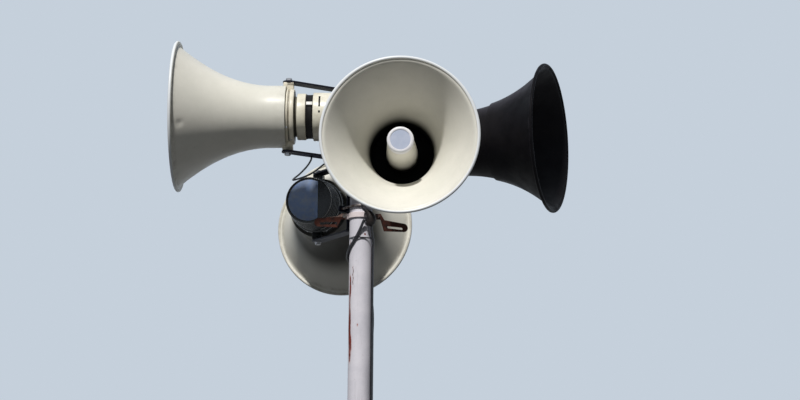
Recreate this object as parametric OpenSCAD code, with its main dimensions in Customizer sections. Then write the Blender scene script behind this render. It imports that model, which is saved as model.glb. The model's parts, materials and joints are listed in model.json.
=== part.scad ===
/* [Mast] */
// Outer diameter of the pipe mast
mast_d = 76; // [70:1:90]
// Wall of the pipe mast
mast_wall = 4; // [3:0.5:6]
// Height of the top of the pipe above the foundation
mast_h = 3470; // [3460:10:3800]
// Thickness of the cap welded on the pipe
cap_t = 6; // [4:1:12]

/* [Base] */
// Side of the square base flange
flange_w = 260; // [240:5:320]
// Thickness of the base flange
flange_t = 14; // [10:1:25]
// Distance between neighbouring anchor holes
anchor_pitch = 200; // [190:5:210]
// Diameter of the anchor holes
anchor_hole_d = 18; // [14:1:24]
// Height of the gussets
gusset_h = 140; // [80:5:220]
// Reach of a gusset out from the pipe
gusset_reach = 80; // [50:5:85]
// Thickness of the gussets
gusset_t = 8; // [6:1:12]

/* [Horn bell] */
// Diameter over the rolled rim of the bell
mouth_d = 500; // [460:5:520]
// Diameter of the rolled rim's bead
bead_d = 11; // [8:1:14]
// Diameter of the bell's straight neck
neck_d = 192; // [186:1:200]
// Length of the flared part
flare_len = 330; // [300:5:340]
// Distance from the pivot line to the front of the rim
mouth_reach = 370; // [360:5:390]
// Wall of the spun bell
bell_wall = 2.5; // [2:0.5:4]

/* [Bullet] */
// Depth of the bullet's cap behind the rim
bullet_depth = 78; // [70:1:90]
// Diameter of the bullet just behind its cap
bullet_front_d = 80; // [70:1:90]
// Diameter of the bullet at its open back
bullet_back_d = 106; // [96:1:112]
// Length of the bullet
bullet_len = 240; // [200:5:260]
// Outer diameter of the throat tube
throat_d = 44; // [36:1:56]

/* [Ring and driver] */
// Width of the clamp ring along the horn
ring_w = 40; // [36:1:44]
// Thickness of the clamp ring
ring_t = 5.5; // [4:0.5:8]
// Side of the square ear blocks
ear_w = 34; // [30:1:36]
// Diameter of the pivot bolts
pivot_d = 12; // [10:1:14]
// Diameter of the driver's drum and cover
driver_d = 160; // [150:1:170]
// Length of the front drum
drum_len = 36; // [30:1:44]
// Length of the black band
band_len = 24; // [18:1:30]
// Distance from the pivot line to the driver's back
driver_reach = 185; // [160:5:190]

/* [Yokes] */
// Distance from the mast's centre line to the pivot line
yoke_reach = 285; // [282:1:300]
// Width of the yoke's flat bar
yoke_w = 40; // [34:1:44]
// Thickness of the yoke's flat bar
yoke_t = 6; // [5:0.5:8]
// Clear height between the yoke's arms
yoke_gap = 230; // [228:1:240]
// Distance between the two clamps of one yoke
clamp_pitch = 96; // [94:1:98]
// Distance from the pipe to the back of the yoke's bar
saddle_gap = 19; // [19:0.5:22]
// Height of a saddle plate
saddle_h = 20; // [16:1:22]
// Diameter of the U-bolt rod
ubolt_d = 8; // [6:1:10]

/* [Places of the horns] */
// Height of the left horn's axis
left_z = 3328; // [3325:1:3335]
// Direction of the left yoke
left_yoke_turn = 212.2; // [208:0.1:216]
// Direction the left horn points
left_heading = 178.7; // [175:0.1:185]
// Height of the front horn's axis
front_z = 3164; // [3160:1:3166]
// Direction of the front yoke
front_yoke_turn = 299; // [297:0.1:303]
// Direction the front horn points
front_heading = 268.3; // [265:0.1:275]
// Height of the right horn's axis
right_z = 3283; // [3282:1:3285]
// Direction of the right yoke
right_yoke_turn = 9.9; // [6:0.1:14]
// Direction the right horn points
right_heading = 341.8; // [338:0.1:346]
// Height of the rear horn's axis
rear_z = 3102; // [3098:1:3106]
// Direction of the rear yoke
rear_yoke_turn = 122.2; // [118:0.1:126]
// Direction the rear horn points
rear_heading = 76.9; // [73:0.1:81]

/* [Cross strap] */
// Height of the strap's centre line on the mast
strap_z = 3024; // [3010:1:3028]
// Height of the strap where it wraps the mast
strap_h = 18; // [14:1:20]
// Thickness of the strap
strap_t = 5; // [4:0.5:6]
// Height of the strap's wings
wing_h = 32; // [28:1:36]
// Reach of the wings from the mast's centre line
wing_reach = 152; // [130:1:160]
// Sweep of the left wing
left_sweep = 10; // [5:1:20]
// Sweep of the right wing
right_sweep = 28; // [20:1:32]

/* [Hidden] */
$fn = 96;
seat = 0.3;
running = 0.05;
small = 0.01;
mast_r = mast_d / 2;
neck_r = neck_d / 2;
lip_r = mouth_d / 2 - 0.9 * bead_d;
ring_back = -ring_w / 2;
ring_in_r = neck_r + seat;
ring_out_r = ring_in_r + ring_t;
arm_in = yoke_gap / 2;
arm_out = arm_in + yoke_t;
back_plate_t = 4;
neck_back = ring_back - back_plate_t - seat;
driver_r = driver_d / 2;
band_r = driver_r - 6;
saddle_out = mast_r + saddle_gap;
saddle_t = 6;
saddle_in = saddle_out - saddle_t;
base_bar_out = saddle_out + yoke_t;
leg_y = mast_r + seat + ubolt_d / 2;
saddle_w = 2 * (leg_y + ubolt_d / 2 + 8.7);
strap_in_r = mast_r + seat;
strap_out_r = strap_in_r + strap_t;
strap_split = 1;
lug_reach = strap_out_r + 24;
strap_bolt_x = strap_out_r + 12;
strap_bolt_d = 8;

HORNS = ["left", "front", "right", "rear"];
PIECES = ["bell", "bullet", "ring", "drum", "band", "cover", "pivot_bolts", "yoke", "ubolts"];

function horn_z(horn) = horn == "left" ? left_z : horn == "front" ? front_z : horn == "right" ? right_z : rear_z;
function yoke_turn(horn) = horn == "left" ? left_yoke_turn : horn == "front" ? front_yoke_turn
    : horn == "right" ? right_yoke_turn : rear_yoke_turn;
function heading(horn) = horn == "left" ? left_heading : horn == "front" ? front_heading
    : horn == "right" ? right_heading : rear_heading;

function paint(horn) = horn == "right" ? [0.12, 0.11, 0.12] : [0.92, 0.91, 0.86];

// Outer radius of the bell at a distance behind the rim: a parabola that ends in the straight neck
function flare_r(depth) = neck_r + (lip_r - neck_r) * pow(max(0, 1 - depth / flare_len), 2);

flare_steps = 22;
bell_len = mouth_reach - neck_back;
flare_depths = [for (i = [0:flare_steps]) bead_d / 2 + (flare_len - bead_d / 2) * pow(i / flare_steps, 1.3)];

// Turns a shape made round Z into one along the horn's axis, with its front towards +X
module along_horn() {
    rotate([0, 90, 0]) children();
}

module in_yoke(horn) {
    translate([0, 0, horn_z(horn)]) rotate([0, 0, yoke_turn(horn)]) children();
}

module in_horn(horn) {
    in_yoke(horn) translate([yoke_reach, 0, 0]) rotate([0, 0, heading(horn) - yoke_turn(horn)]) children();
}

module both_ends() {
    children();
    mirror([0, 0, 1]) children();
}

module mast_pipe() {
    color([0.8, 0.79, 0.84])
    translate([0, 0, flange_t])
    difference() {
        cylinder(r = mast_r, h = mast_h - flange_t);
        translate([0, 0, -1]) cylinder(r = mast_r - mast_wall, h = mast_h);
    }
}

module mast_cap() {
    color([0.75, 0.74, 0.78])
    translate([0, 0, mast_h]) {
        cylinder(r = mast_r, h = cap_t);
        translate([0, 0, -2 * cap_t]) cylinder(r = mast_r - mast_wall - seat, h = 2 * cap_t);
    }
}

module base_flange() {
    corner_r = 16;
    corner = flange_w / 2 - corner_r;
    color([0.72, 0.71, 0.75])
    difference() {
        union() {
            translate([-corner, -flange_w / 2, 0]) cube([2 * corner, flange_w, flange_t]);
            translate([-flange_w / 2, -corner, 0]) cube([flange_w, 2 * corner, flange_t]);
            for (x = [-corner, corner], y = [-corner, corner]) translate([x, y, 0]) cylinder(r = corner_r, h = flange_t);
        }
        for (x = [-1, 1], y = [-1, 1])
            translate([x * anchor_pitch / 2, y * anchor_pitch / 2, -1])
            cylinder(d = anchor_hole_d, h = flange_t + 2);
    }
}

module base_gussets() {
    toe = 12;
    inner = mast_r + seat;
    color([0.72, 0.71, 0.75])
    for (turn = [0:90:270])
        rotate([0, 0, turn])
        translate([0, gusset_t / 2, flange_t])
        rotate([90, 0, 0])
        linear_extrude(gusset_t)
        polygon([[inner, 0], [inner + gusset_reach, 0], [inner + gusset_reach, toe], [inner + toe, gusset_h],
            [inner, gusset_h]]);
}

// Plan of a half ring round the mast on the side towards -Y, with a straight lug at each end
module half_band_plan() {
    difference() {
        union() {
            circle(r = strap_out_r);
            translate([-lug_reach, -strap_split - strap_t]) square([2 * lug_reach, strap_t]);
        }
        circle(r = strap_in_r);
        translate([-2 * lug_reach, -strap_split]) square([4 * lug_reach, 2 * lug_reach]);
    }
}

// Flat wing that widens past the lug and ends round, bent back from the lug by its sweep
module wing(sweep) {
    widening = 14;
    overlap = 2;
    length = (wing_reach - lug_reach) / cos(sweep) - wing_h / 2;
    translate([lug_reach - overlap, -strap_split - strap_t / 2, 0])
    rotate([90, 0, sweep])
    linear_extrude(strap_t, center = true)
    union() {
        polygon([[0, -strap_h / 2], [widening, -wing_h / 2], [length, -wing_h / 2], [length, wing_h / 2],
            [widening, wing_h / 2], [0, strap_h / 2]]);
        translate([length, 0]) circle(d = wing_h);
    }
}

module strap_holes() {
    for (side = [-1, 1])
        translate([side * strap_bolt_x, 0, 0]) rotate([90, 0, 0])
        cylinder(d = strap_bolt_d + 2 * seat, h = 40, center = true);
}

module cross_strap() {
    drop = (wing_h - strap_h) / 2;
    color([0.45, 0.22, 0.16])
    translate([0, 0, strap_z])
    difference() {
        union() {
            linear_extrude(strap_h, center = true) half_band_plan();
            translate([0, 0, -drop]) {
                wing(right_sweep);
                mirror([1, 0, 0]) wing(left_sweep);
            }
        }
        strap_holes();
    }
}

module back_strap() {
    color([0.42, 0.2, 0.15])
    translate([0, 0, strap_z])
    difference() {
        linear_extrude(strap_h, center = true) mirror([0, 1]) half_band_plan();
        strap_holes();
    }
}

// A hexagon nut or bolt head across its flats, standing on z = 0
module hexagon(flats, height) {
    cylinder(d = flats / cos(30), h = height, $fn = 6);
}

module strap_bolts() {
    outer = strap_split + strap_t;
    head = 5;
    nut = 6;
    color([0.35, 0.25, 0.22])
    translate([0, 0, strap_z])
    for (side = [-1, 1])
        translate([side * strap_bolt_x, 0, 0]) rotate([90, 0, 0]) {
            translate([0, 0, -outer - nut - 4]) cylinder(d = strap_bolt_d, h = 2 * outer + nut + 4 + small);
            translate([0, 0, outer]) hexagon(13, head);
            translate([0, 0, -outer - nut]) hexagon(13, nut);
        }
}

module bell(horn) {
    lip_in = flare_r(bead_d / 2) - bell_wall;
    inner_front = [for (d = flare_depths) [flare_r(d) - bell_wall, mouth_reach - d]];
    outer_front = [for (i = [flare_steps:-1:0]) [flare_r(flare_depths[i]), mouth_reach - flare_depths[i]]];
    tube_hole = throat_d / 2 + seat;
    color(paint(horn))
    in_horn(horn) along_horn()
    rotate_extrude($fn = 128) {
        polygon(concat(inner_front, [
            [neck_r - bell_wall, neck_back + back_plate_t],
            [tube_hole, neck_back + back_plate_t],
            [tube_hole, neck_back],
            [neck_r, neck_back]
        ], outer_front));
        translate([lip_in, mouth_reach - bead_d / 2 - bell_wall])
        square([mouth_d / 2 - bead_d / 2 - lip_in, bell_wall]);
        translate([mouth_d / 2 - bead_d / 2, mouth_reach - bead_d / 2]) circle(d = bead_d, $fn = 32);
    }
}

// The floating bullet: a cup open at the back round the throat tube, held on it by three webs
module bullet(horn) {
    front = mouth_reach - bullet_depth;
    back = front - bullet_len;
    nose = 26;
    wall = 2.5;
    tube_short = 70;
    tube_front = front - tube_short;
    tube_r = throat_d / 2;
    tube_wall = 3;
    front_r = bullet_front_d / 2;
    back_r = bullet_back_d / 2;
    web_t = 3;
    web_back = back + 12;
    web_front = tube_front - 6;
    nose_back = front - nose;
    function cup_r(x) = back_r + (front_r - back_r) * (x - back) / (nose_back - back) - wall / 2;
    nose_steps = 8;
    nose_out = [for (i = [0:nose_steps])
        [front_r * sin(90 * i / nose_steps), nose_back + nose * cos(90 * i / nose_steps)]];
    nose_in = [for (i = [nose_steps:-1:0])
        [(front_r - wall) * sin(90 * i / nose_steps), nose_back + (nose - wall) * cos(90 * i / nose_steps)]];
    color(paint(horn))
    in_horn(horn) along_horn() {
        rotate_extrude($fn = 96)
        polygon(concat(nose_out, [[back_r, back], [back_r - wall, back]], nose_in));
        rotate_extrude($fn = 64)
        translate([tube_r - tube_wall, neck_back]) square([tube_wall, tube_front - neck_back]);
        for (turn = [0:120:240])
            rotate([0, 0, turn])
            translate([0, web_t / 2, 0]) rotate([90, 0, 0])
            linear_extrude(web_t)
            polygon([[tube_r - tube_wall / 2, web_back], [cup_r(web_back), web_back], [cup_r(web_front), web_front],
                [tube_r - tube_wall / 2, web_front]]);
    }
}

module clamp_ring(horn) {
    ear_top = arm_in - seat;
    color([0.92, 0.9, 0.82])
    in_horn(horn) {
        difference() {
            union() {
                along_horn() {
                    translate([0, 0, ring_back]) cylinder(r = ring_out_r, h = ring_w);
                    for (x = [4, 13])
                        translate([0, 0, x]) rotate_extrude()
                        translate([ring_out_r, 0]) circle(d = 5, $fn = 24);
                }
                translate([-ear_w / 2, -ear_w / 2, -ear_top]) cube([ear_w, ear_w, 2 * ear_top]);
            }
            along_horn() translate([0, 0, ring_back - 1]) cylinder(r = ring_in_r, h = ring_w + 2);
            cylinder(d = pivot_d + 2 * running, h = 2 * arm_out, center = true);
        }
    }
}

module pivot_bolts(horn) {
    shank_in = ring_out_r + 1;
    washer_r = 12;
    washer_t = 2;
    head = 7.5;
    color([0.3, 0.3, 0.32])
    in_horn(horn)
    both_ends() {
        translate([0, 0, shank_in]) cylinder(d = pivot_d, h = arm_out + seat + washer_t - shank_in);
        translate([0, 0, arm_out + seat]) cylinder(r = washer_r, h = washer_t);
        translate([0, 0, arm_out + seat + washer_t]) hexagon(18, head);
    }
}

module drum(horn) {
    edge = 3;
    color(horn == "right" ? [0.12, 0.11, 0.12] : horn == "rear" ? [0.2, 0.2, 0.22] : [0.93, 0.91, 0.82])
    in_horn(horn) along_horn()
    translate([0, 0, neck_back - drum_len])
    rotate_extrude()
    polygon([[0, 0], [driver_r - edge, 0], [driver_r, edge], [driver_r, drum_len], [0, drum_len]]);
}

module band(horn) {
    color([0.08, 0.08, 0.09])
    in_horn(horn) along_horn()
    translate([0, 0, neck_back - drum_len - band_len]) cylinder(r = band_r, h = band_len);
}

module cover(horn) {
    front = neck_back - drum_len - band_len;
    edge = 8;
    color(horn == "right" ? [0.12, 0.11, 0.12] : horn == "rear" ? [0.35, 0.4, 0.5] : [0.93, 0.91, 0.82])
    in_horn(horn) along_horn()
    translate([0, 0, -driver_reach])
    rotate_extrude() {
        translate([0, edge]) square([driver_r, front + driver_reach - edge]);
        square([driver_r - edge, edge + small]);
        translate([driver_r - edge, edge]) circle(r = edge, $fn = 48);
    }
}

// Side view of the flat bar bent into a U, from its base to the ends of its arms
module yoke_profile() {
    bend_in = 8;
    bend_out = bend_in + yoke_t;
    tip = yoke_reach + yoke_w / 2;
    difference() {
        union() {
            translate([saddle_out, -arm_out + bend_out]) square([tip - saddle_out, 2 * (arm_out - bend_out)]);
            translate([saddle_out + bend_out, -arm_out]) square([tip - saddle_out - bend_out, 2 * arm_out]);
            for (side = [-1, 1])
                translate([saddle_out + bend_out, side * (arm_out - bend_out)]) circle(r = bend_out);
        }
        translate([base_bar_out, -arm_in + bend_in]) square([tip, 2 * (arm_in - bend_in)]);
        translate([base_bar_out + bend_in, -arm_in]) square([tip, 2 * arm_in]);
        for (side = [-1, 1])
            translate([base_bar_out + bend_in, side * (arm_in - bend_in)]) circle(r = bend_in);
    }
}

module yoke(horn) {
    color([0.1, 0.1, 0.13])
    in_yoke(horn)
    difference() {
        union() {
            intersection() {
                translate([0, yoke_w / 2, 0]) rotate([90, 0, 0]) linear_extrude(yoke_w) yoke_profile();
                union() {
                    translate([0, -yoke_w / 2, -arm_out]) cube([yoke_reach, yoke_w, 2 * arm_out]);
                    translate([yoke_reach, 0, -arm_out]) cylinder(d = yoke_w, h = 2 * arm_out);
                }
            }
            for (side = [-1, 1])
                translate([0, 0, side * clamp_pitch / 2]) {
                    translate([saddle_in, -saddle_w / 2, -saddle_h / 2]) cube([saddle_t, saddle_w, saddle_h]);
                    saddle_block();
                }
        }
        translate([yoke_reach, 0, 0]) cylinder(d = pivot_d + 2 * running, h = 2 * arm_out + 2, center = true);
        for (side = [-1, 1], leg = [-1, 1])
            translate([saddle_in - 1, leg * leg_y, side * clamp_pitch / 2]) rotate([0, 90, 0])
            cylinder(d = ubolt_d + 2 * seat, h = saddle_t + 2);
    }
}

module saddle_block() {
    half_w = 28;
    toe = mast_r - 12;
    difference() {
        translate([toe, -half_w, -saddle_h / 2]) cube([saddle_in - toe, 2 * half_w, saddle_h]);
        cylinder(r = mast_r + seat, h = saddle_h + 2, center = true);
    }
}

module ubolts(horn) {
    nut = 6.5;
    spare = 6;
    leg_end = saddle_out + nut + spare;
    color([0.25, 0.24, 0.25])
    in_yoke(horn)
    for (side = [-1, 1])
        translate([0, 0, side * clamp_pitch / 2]) {
            rotate([0, 0, 90]) rotate_extrude(angle = 180) translate([leg_y, 0]) circle(d = ubolt_d, $fn = 32);
            for (leg = [-1, 1])
                translate([0, leg * leg_y, 0]) rotate([0, 90, 0]) {
                    cylinder(d = ubolt_d, h = leg_end, $fn = 32);
                    translate([0, 0, saddle_out]) hexagon(13, nut);
                }
        }
}

module piece(horn, name) {
    if (name == "bell") bell(horn);
    if (name == "bullet") bullet(horn);
    if (name == "ring") clamp_ring(horn);
    if (name == "drum") drum(horn);
    if (name == "band") band(horn);
    if (name == "cover") cover(horn);
    if (name == "pivot_bolts") pivot_bolts(horn);
    if (name == "yoke") yoke(horn);
    if (name == "ubolts") ubolts(horn);
}

mast_pipe();
mast_cap();
base_flange();
base_gussets();
cross_strap();
back_strap();
strap_bolts();
for (horn = HORNS, name = PIECES)
    piece(horn, name);
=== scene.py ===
# %% [markdown]
# # A pipe mast that carries four warning horns
# The construction arrives as a fixed frame of real pieces: a steel mast on a bolted flange, four yokes
# clamped round it, in each yoke a horn that can be turned and locked, and the leads that run down the mast.
# This lesson dresses that frame. Every new surface is a grid of points that follows a short formula, and
# every finish is a tree of shader nodes that reads where the surface is.

# %% The frame
import json
import math
from collections import namedtuple
import bmesh
import bpy
import numpy as np
from mathutils import Matrix, Vector


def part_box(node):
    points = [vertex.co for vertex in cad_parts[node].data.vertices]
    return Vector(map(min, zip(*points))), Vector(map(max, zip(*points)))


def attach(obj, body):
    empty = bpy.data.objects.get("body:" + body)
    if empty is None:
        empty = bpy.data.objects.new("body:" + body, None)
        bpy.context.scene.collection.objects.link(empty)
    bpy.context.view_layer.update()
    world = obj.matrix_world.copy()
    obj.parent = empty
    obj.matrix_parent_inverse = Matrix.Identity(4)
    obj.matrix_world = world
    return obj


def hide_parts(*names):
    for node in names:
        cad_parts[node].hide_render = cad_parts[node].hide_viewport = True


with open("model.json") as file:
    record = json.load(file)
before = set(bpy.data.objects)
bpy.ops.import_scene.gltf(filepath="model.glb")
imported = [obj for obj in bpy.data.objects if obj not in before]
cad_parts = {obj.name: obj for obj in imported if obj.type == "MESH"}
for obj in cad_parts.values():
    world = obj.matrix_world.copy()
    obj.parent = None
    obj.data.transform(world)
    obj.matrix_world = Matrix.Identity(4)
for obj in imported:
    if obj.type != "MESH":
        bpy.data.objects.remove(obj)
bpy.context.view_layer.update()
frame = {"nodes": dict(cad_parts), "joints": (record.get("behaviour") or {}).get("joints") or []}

# %% [markdown]
# ## The camera
# The picture was taken from the ground with a long lens, from more than seven metres away, looking up at
# the horns. Such a view is described by where the eye is, how far the gaze is lifted, a small roll of the
# hand, and the focal length counted in pixels of an 800 pixel wide frame. The camera's axes are written out
# from those angles, so that nothing has to be pointed by eye.

# %% Place the camera
frame_width_px = 800
focal_px = 2203.5
sensor_mm = 36.0
eye = Vector((0.130, -7.232, 1.600))
gaze_up = math.radians(11.579)
roll = math.radians(0.44)

level_right = Vector((1, 0, 0))
gaze_top = Vector((0, -math.sin(gaze_up), math.cos(gaze_up)))
camera_x = level_right * math.cos(roll) + gaze_top * math.sin(roll)
camera_y = gaze_top * math.cos(roll) - level_right * math.sin(roll)
camera_turn = Matrix((camera_x, camera_y, camera_x.cross(camera_y))).transposed()

camera = bpy.data.objects.new("Camera", bpy.data.cameras.new("Camera"))
camera.data.sensor_fit = "HORIZONTAL"
camera.data.sensor_width = sensor_mm
camera.data.lens = focal_px / frame_width_px * sensor_mm
camera.matrix_world = Matrix.Translation(eye) @ camera_turn.to_4x4()
bpy.context.scene.collection.objects.link(camera)
bpy.context.scene.camera = camera
print(f"camera: {camera.data.lens:.1f} mm lens, {eye.length:.2f} m from the mast's foot")

# %% [markdown]
# ## The studio
# Outdoors the horns are lit by a high sun from the front, a little to the left. The studio keeps that
# direction, because it draws the shadow line along the bells, with a lamp that is softer than the sun. A
# world that gives little light, a bit bluish like the sky, fills the shadows. World and floor are pale for
# the camera and for shiny metal only, so that they add no light from below, where the bells are dark.

# %% Lamps, world and floor
backdrop_colour = (0.56, 0.63, 0.71)
fill_colour = (0.81, 0.90, 1.0)
fill_strength = 0.075
floor_colour = (0.60, 0.64, 0.68)
floor_bounce = (0.05, 0.05, 0.05)
key_from = Vector((-0.177, -0.617, 0.767))
key_strength = 3.45
key_softness = math.radians(4)
key_colour = (1.0, 0.98, 0.94)


def new_node(tree, kind, inputs=None, **settings):
    """Adds one shader node; an input is a number, a colour or another node's socket."""
    node = tree.nodes.new("ShaderNode" + kind)
    for key, value in settings.items():
        setattr(node, key, value)
    for key, value in (inputs or {}).items():
        if isinstance(value, bpy.types.NodeSocket):
            tree.links.new(value, node.inputs[key])
        else:
            node.inputs[key].default_value = value
    return node


def seen_directly(tree):
    """1 for camera rays and for rays that shiny or clear surfaces send on, 0 for diffuse light."""
    path = new_node(tree, "LightPath").outputs
    seen = path["Is Camera Ray"]
    for kind in ("Is Glossy Ray", "Is Transmission Ray"):
        seen = new_node(tree, "Math", {0: seen, 1: path[kind]}, operation="MAXIMUM").outputs[0]
    return seen


def build_world():
    """Backdrop for camera, glossy and transmission rays, and a weak sky for all others."""
    world = bpy.data.worlds.new("Studio")
    bpy.context.scene.world = world
    world.use_nodes = True
    tree = world.node_tree
    tree.nodes.clear()
    sky = new_node(tree, "Background", {"Color": (*fill_colour, 1), "Strength": fill_strength})
    backdrop = new_node(tree, "Background", {"Color": (*backdrop_colour, 1), "Strength": 1.0})
    mixed = new_node(tree, "MixShader", {0: seen_directly(tree), 1: sky.outputs[0], 2: backdrop.outputs[0]})
    new_node(tree, "OutputWorld", {"Surface": mixed.outputs[0]})


def build_key():
    """A lamp so far off that its rays are parallel, shining from key_from."""
    key = bpy.data.objects.new("Key", bpy.data.lights.new("Key", "SUN"))
    key.data.energy = key_strength
    key.data.angle = key_softness
    key.data.color = key_colour
    key.matrix_world = key_from.to_track_quat("Z", "Y").to_matrix().to_4x4()
    bpy.context.scene.collection.objects.link(key)


def build_floor():
    """A wide level sheet under the mast, pale and plain."""
    reach = 30.0
    mesh = bpy.data.meshes.new("floor")
    corners = [(-reach, -reach, 0), (reach, -reach, 0), (reach, reach, 0), (-reach, reach, 0)]
    mesh.from_pydata(corners, [], [(0, 1, 2, 3)])
    floor = bpy.data.objects.new("floor", mesh)
    bpy.context.scene.collection.objects.link(floor)
    material = bpy.data.materials.new("floor")
    material.use_nodes = True
    tree = material.node_tree
    shader = tree.nodes["Principled BSDF"]
    shader.inputs["Roughness"].default_value = 0.9
    paint = new_node(tree, "Mix", {0: seen_directly(tree), 6: (*floor_bounce, 1), 7: (*floor_colour, 1)},
                     data_type="RGBA")
    tree.links.new(paint.outputs[2], shader.inputs["Base Color"])
    mesh.materials.append(material)


build_world()
build_key()
build_floor()
bpy.context.scene.view_settings.view_transform = "Standard"

# %% [markdown]
# ## Surfaces from grids of points
# A bell is spun on a lathe, a bolt is turned, a bar is rolled: all of them are a function of two numbers.
# So each surface is an array of points, rows by columns, and the four corners of each cell of the array
# make a face. Rows or columns that close on themselves give a tube or a ring, and a row that shrinks to one
# point closes a pole when doubled points are merged.

# %% Grid tools
def grid(points, rows_close=False, columns_close=True):
    """A shape from an array of points, rows by columns by three: each cell's four corners are a face."""
    rows, columns = points.shape[:2]
    first_row = np.arange(rows if rows_close else rows - 1)
    first_column = np.arange(columns if columns_close else columns - 1)
    row, column = np.meshgrid(first_row, first_column, indexing="ij")
    next_row, next_column = (row + 1) % rows, (column + 1) % columns
    corners = [row * columns + column, next_row * columns + column,
               next_row * columns + next_column, row * columns + next_column]
    return points.reshape(-1, 3), np.stack(corners, -1).reshape(-1, 4)


def join(*shapes):
    """One shape of several: points end to end, each one's face numbers moved on by what is before it."""
    starts = np.cumsum([0] + [len(points) for points, faces in shapes])
    points = np.vstack([points for points, faces in shapes])
    faces = np.vstack([faces + start for (_, faces), start in zip(shapes, starts)])
    return points, faces


def moved(shape, matrix):
    """The shape with every point carried by a 4 by 4 matrix."""
    points, faces = shape
    carry = np.array(matrix)
    return points @ carry[:3, :3].T + carry[:3, 3], faces


def shifted(shape, x=0.0, y=0.0, z=0.0):
    """The shape moved along the three axes."""
    return moved(shape, Matrix.Translation((x, y, z)))


def turned(shape, degrees, axis):
    """The shape turned about an axis through the origin."""
    return moved(shape, Matrix.Rotation(math.radians(degrees), 4, axis))


def ring_angles(steps):
    """Angles of that many equal steps round a circle, starting at zero."""
    return np.arange(steps) * 2 * np.pi / steps


def spin(profile, steps=96, closed=True):
    """Carries a profile of (x, r) points round the X axis: y = r cos(turn) and z = r sin(turn)."""
    x, r = np.asarray(profile, float).T
    turn = ring_angles(steps)
    points = np.stack([np.outer(x, np.ones(steps)), np.outer(r, np.cos(turn)), np.outer(r, np.sin(turn))], -1)
    return grid(points, rows_close=closed)


def arc(x, r, radius, start, end, steps=8):
    """Points of an arc in the (x, r) plane, with its angles in degrees from the x direction towards r."""
    angle = np.radians(np.linspace(start, end, steps))
    return list(zip(x + radius * np.cos(angle), r + radius * np.sin(angle)))


def capped(rings):
    """The rings, closed by one more at each end that has shrunk to the end ring's middle."""
    first, last = (np.broadcast_to(rings[i].mean(0), rings[i].shape)[None] for i in (0, -1))
    return np.concatenate([first, rings, last])


def directions(path):
    """Unit vectors along a path of points."""
    along = np.gradient(path, axis=0)
    return along / np.linalg.norm(along, axis=1)[:, None]


def degrees_from(turn, centre_deg):
    """How many degrees a turn lies past a centre, taken the short way round."""
    return np.degrees(np.angle(np.exp(1j * (turn - np.radians(centre_deg)))))


def block(size, edge, steps=4):
    """A box with round edges: each direction of a ball, from the inner box's corner of the same signs."""
    inner = np.array(size) / 2 - edge
    turn = (np.arange(4 * steps) + 0.5) * np.pi / (2 * steps)
    tilt = np.radians(np.concatenate([[-90], (np.arange(2 * steps) + 0.5) * 90 / steps - 90, [90]]))
    direction = np.stack([np.outer(np.cos(tilt), np.cos(turn)), np.outer(np.cos(tilt), np.sin(turn)),
                          np.outer(np.sin(tilt), np.ones(len(turn)))], -1)
    return grid(np.sign(np.round(direction, 9)) * inner + edge * direction)


def tube(path, radius, steps=12):
    """A round rod along a path: each ring stands square to the path and is carried on without a twist."""
    path = np.asarray(path, float)
    along = directions(path)
    side = np.empty_like(path)
    side[0] = np.cross(along[0], np.eye(3)[np.argmin(np.abs(along[0]))])
    for i in range(1, len(path)):
        side[i] = side[i - 1] - along[i] * (side[i - 1] @ along[i])
    side /= np.linalg.norm(side, axis=1)[:, None]
    up = np.cross(along, side)
    turn = ring_angles(steps)
    size = np.broadcast_to(np.asarray(radius, float), len(path))[:, None, None]
    out = np.cos(turn)[:, None] * side[:, None] + np.sin(turn)[:, None] * up[:, None]
    rings = path[:, None] + size * out
    return grid(capped(rings))


# %% [markdown]
# ## From a shape to a piece
# Each finished piece is one object at the origin, whose points already stand where the frame says. It rides
# on a body, names the frame's nodes that it stands for, and may carry masks: one number a point, worked out
# from the point's own place, which its material reads to know where dirt lies or where a wall is inside.

# %% Piece maker
made = {"triangles": 0}


def piece(name, shape, body, finish, replaces=(), masks=None, sharp_deg=38):
    """Makes a mesh object of a shape, closes its seams, points its faces outwards and hangs it on a body."""
    points, faces = shape
    mesh = bpy.data.meshes.new(name)
    mesh.from_pydata(points, [], faces.tolist())
    for mask, values in (masks or {}).items():
        mesh.attributes.new(mask, "FLOAT", "POINT").data.foreach_set("value", np.asarray(values, np.float32))
    cleaned = bmesh.new()
    cleaned.from_mesh(mesh)
    bmesh.ops.remove_doubles(cleaned, verts=cleaned.verts, dist=2e-6)
    bmesh.ops.recalc_face_normals(cleaned, faces=cleaned.faces)
    cleaned.to_mesh(mesh)
    cleaned.free()
    mesh.shade_smooth()
    mesh.set_sharp_from_angle(angle=math.radians(sharp_deg))
    mesh.materials.append(finish)
    obj = bpy.data.objects.new(name, mesh)
    bpy.context.scene.collection.objects.link(obj)
    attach(obj, body)
    if replaces:
        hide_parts(*replaces)
    triangles = sum(len(p.vertices) - 2 for p in mesh.polygons)
    made["triangles"] += triangles
    print(f"{name}: {triangles} triangles")
    return obj


def smoothstep(low, high, value):
    """0 below low, 1 above high, and an S-shaped rise between them."""
    t = np.clip((value - low) / (high - low), 0, 1)
    return t * t * (3 - 2 * t)


def dress(node_name, finish, edge=0.0):
    """Gives a piece of the frame a finish, and rounds its edges with modifiers that leave its mesh alone."""
    obj = frame["nodes"][node_name]
    obj.data.materials.clear()
    obj.data.materials.append(finish)
    if edge:
        weld = obj.modifiers.new("Merge corners", "WELD")
        weld.merge_threshold = 1e-5
        bevel = obj.modifiers.new("Round edges", "BEVEL")
        bevel.width = edge
        bevel.segments = 2
        bevel.limit_method = "ANGLE"
        bevel.angle_limit = math.radians(40)
    return obj


# %% [markdown]
# ## Finishes
# A finish starts as a Principled shader with its fixed numbers set on the shader itself. What varies, such
# as mottled paint, rain marks, chips or rust, comes from noise that reads the piece's own coordinates in
# metres, so that a rain mark is a noise squeezed flat across and stretched along Z. A small class keeps
# each material short.

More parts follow.
